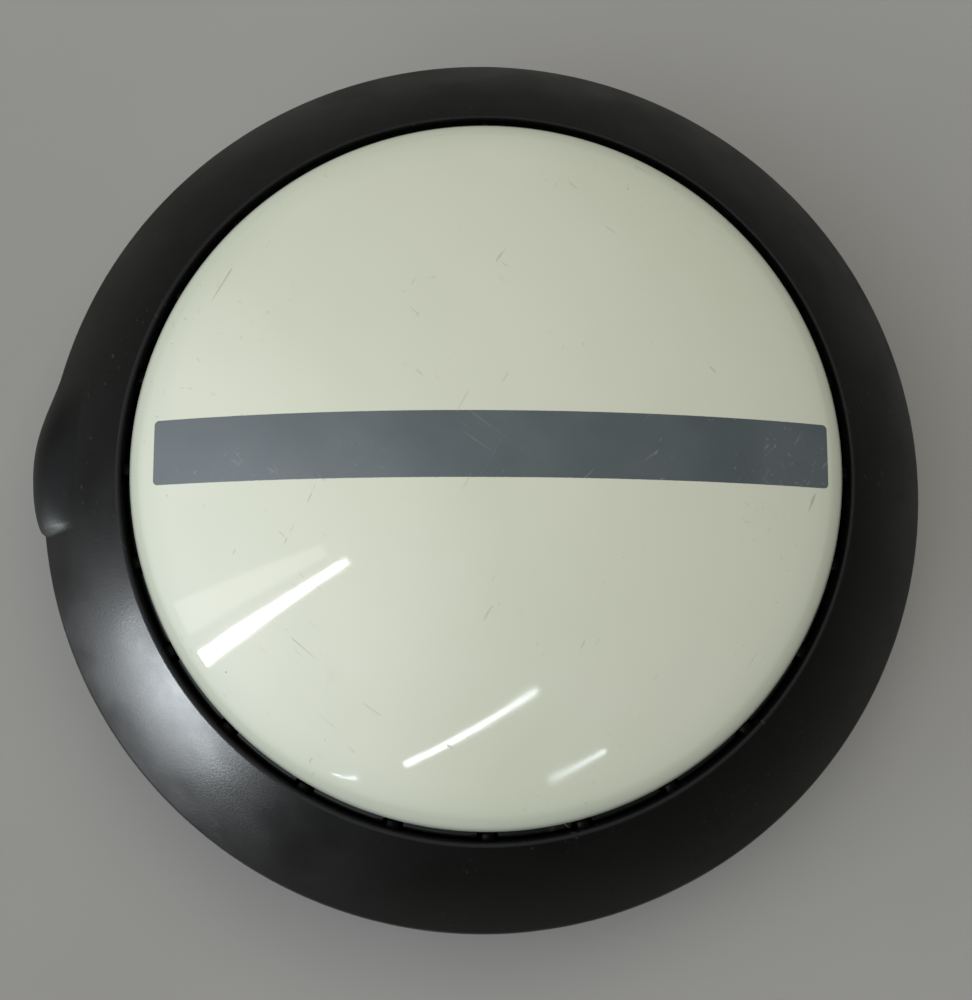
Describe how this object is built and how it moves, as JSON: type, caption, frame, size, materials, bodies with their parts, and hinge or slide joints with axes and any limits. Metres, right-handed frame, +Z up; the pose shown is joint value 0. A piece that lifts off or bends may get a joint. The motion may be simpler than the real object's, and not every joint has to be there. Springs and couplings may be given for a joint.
{
  "type": "radar dome antenna",
  "caption": "Low cream radome in a black conical skirt over a satellite-positioning receiver, with battery doors, keys and sockets below, on a pole thread.",
  "frame": {"origin": "centre of the seat face, at the mouth of the pole thread", "axes": "+Z up along the pole thread; -Y towards the keys, +Y towards the sockets, the skirt's hump near -X"},
  "size_m": [0.2442, 0.241, 0.109],
  "materials": {
    "radome_plastic": "glossy cream, lightly scratched",
    "skirt_plastic": "satin black moulding",
    "housing_plastic": "fine textured charcoal",
    "door_plastic": "fine textured charcoal",
    "bay_plastic": "matte black",
    "panel_plastic": "satin grey",
    "panel_aluminium": "anodised",
    "fitting_plastic": "matte black",
    "insert_plastic": "matte black",
    "core_plastic": "white",
    "clear_plastic": "frosted clear",
    "seal_rubber": "matte",
    "cap_rubber": "matte",
    "key_rubber": "matte grey",
    "lead_jacket": "matte black",
    "battery_case": "matte dark grey",
    "circuit_board": "green solder mask",
    "shield_tin": "tinned",
    "screw_steel": "bright",
    "pin_steel": "ground",
    "socket_nickel": "satin nickel",
    "plate_aluminium": "chromated",
    "insert_brass": "turned",
    "standoff_brass": "turned",
    "contact_gold": "plated",
    "patch_ceramic": "unglazed ceramic",
    "patch_copper": "bare copper"
  },
  "bodies": {
    "receiver": {"aerial_core": "core_plastic", "aerial_lead": "lead_jacket", "aerial_socket": "socket_nickel", "amplifier_shield": "shield_tin", "antenna_board": "circuit_board", "antenna_link": "contact_gold", "antenna_screws": "screw_steel", "antenna_standoffs": "standoff_brass", "battery_bay_left": "bay_plastic", "battery_bay_right": "bay_plastic", "battery_contacts_left": "contact_gold", "battery_contacts_right": "contact_gold", "battery_pack_left": "battery_case", "battery_pack_right": "battery_case", "board_screws": "screw_steel", "cap_pins": "pin_steel", "chassis_plate": "plate_aluminium", "chassis_screws": "screw_steel", "data_sockets": "socket_nickel", "door_pin_left": "pin_steel", "door_pin_right": "pin_steel", "door_seal_left": "seal_rubber", "door_seal_right": "seal_rubber", "feed_pins": "contact_gold", "ground_plane": "plate_aluminium", "housing_screws": "screw_steel", "housing_seal": "seal_rubber", "insert_screws": "screw_steel", "key_board": "circuit_board", "key_panel": "panel_plastic", "key_panel_screws": "screw_steel", "lead_grommet": "seal_rubber", "light_pipes": "clear_plastic", "lower_element": "patch_copper", "lower_housing": "housing_plastic", "lower_patch": "patch_ceramic", "main_board": "circuit_board", "pole_insert": "insert_brass", "positioning_module": "shield_tin", "processor_shield": "shield_tin", "radio_aerial": "circuit_board", "radio_module": "shield_tin", "radome": "radome_plastic", "radome_seal": "seal_rubber", "skirt_ring": "skirt_plastic", "socket_contacts": "contact_gold", "socket_inserts": "insert_plastic", "socket_nuts": "socket_nickel", "socket_panel": "panel_aluminium", "socket_panel_screws": "screw_steel", "upper_element": "patch_copper", "upper_patch": "patch_ceramic", "vent_nut": "fitting_plastic", "vent_plug": "fitting_plastic"},
    "door_left": {"battery_door_left": "door_plastic"},
    "door_right": {"battery_door_right": "door_plastic"},
    "power_key_body": {"power_key": "key_rubber"},
    "record_key_body": {"record_key": "key_rubber"},
    "cap_left": {"dust_cap_left": "cap_rubber"},
    "cap_right": {"dust_cap_right": "cap_rubber"}
  },
  "joints": [
    {"name": "battery_door_left_hinge", "type": "hinge", "parent": "receiver", "child": "door_left", "pos_m": [-0.075, 0, 0.0445], "axis": [0, 1, 0], "range_deg": [0, 85]},
    {"name": "battery_door_right_hinge", "type": "hinge", "parent": "receiver", "child": "door_right", "pos_m": [0.075, 0, 0.0445], "axis": [0, -1, 0], "range_deg": [0, 85]},
    {"name": "power_key_press", "type": "slide", "parent": "receiver", "child": "power_key_body", "axis": [0, 1, 0], "range_m": [0, 0.0008], "stiffness_N_per_m": 900},
    {"name": "record_key_press", "type": "slide", "parent": "receiver", "child": "record_key_body", "axis": [0, 1, 0], "range_m": [0, 0.0008], "stiffness_N_per_m": 900},
    {"name": "dust_cap_left_hinge", "type": "hinge", "parent": "receiver", "child": "cap_left", "pos_m": [0.0185, 0.084, 0.041], "axis": [1, 0, 0], "range_deg": [0, 100], "stiffness_Nm_per_rad": 0.02, "springref_deg": -34.38},
    {"name": "dust_cap_right_hinge", "type": "hinge", "parent": "receiver", "child": "cap_right", "pos_m": [-0.0045, 0.084, 0.041], "axis": [1, 0, 0], "range_deg": [0, 100], "stiffness_Nm_per_rad": 0.02, "springref_deg": -34.38}
  ]
}
